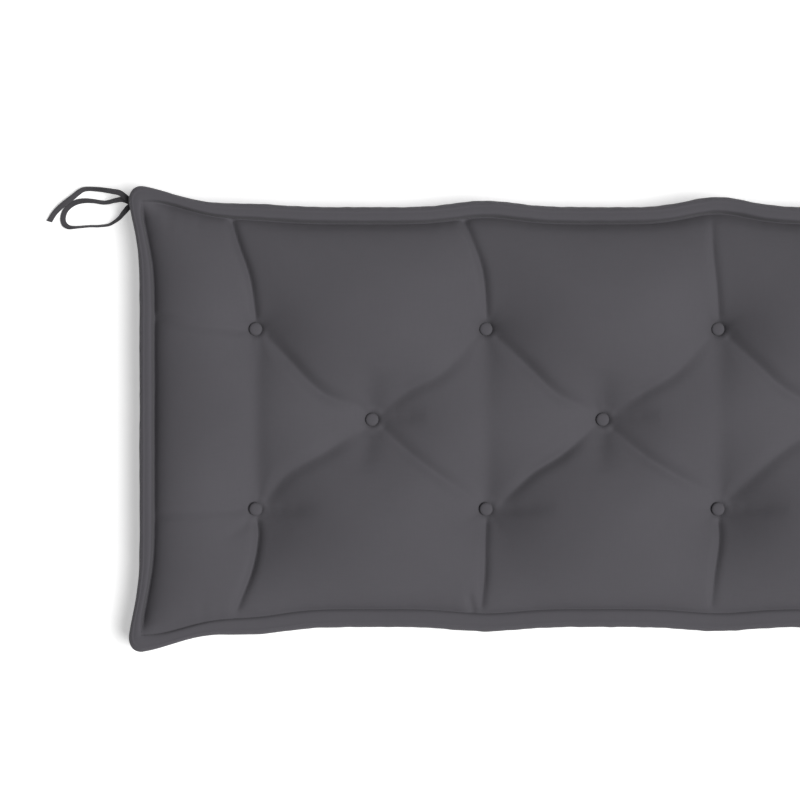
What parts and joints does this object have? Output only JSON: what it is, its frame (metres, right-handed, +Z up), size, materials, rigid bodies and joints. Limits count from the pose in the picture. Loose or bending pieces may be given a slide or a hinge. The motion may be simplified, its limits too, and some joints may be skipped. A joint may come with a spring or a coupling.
{
  "type": "bench cushion",
  "caption": "Long button-tufted bench cushion with a crowned top, stitched rolled edges, drawn-in sides and a tie at each back corner, lying flat on its back.",
  "frame": {"origin": "on the surface, under the middle of the pad", "axes": "+X along the length, +Y towards the back edge with the ties, +Z up out of the tufted top"},
  "size_m": [1.186, 0.4976, 0.0779],
  "materials": {
    "cover": "matt, close plain-woven polyester, dark warm grey",
    "button": "the cover's cloth pulled over a domed button",
    "tie_tape": "folded and stitched tape of the cover's cloth"
  },
  "bodies": {
    "root": {"pad": "cover", "button_back_1": "button", "button_back_2": "button", "button_back_3": "button", "button_back_4": "button", "button_middle_1": "button", "button_middle_2": "button", "button_middle_3": "button", "button_front_1": "button", "button_front_2": "button", "button_front_3": "button", "button_front_4": "button", "tie_left_long": "tie_tape", "tie_left_loop": "tie_tape", "tie_right_long": "tie_tape", "tie_right_loop": "tie_tape"}
  },
  "joints": []
}
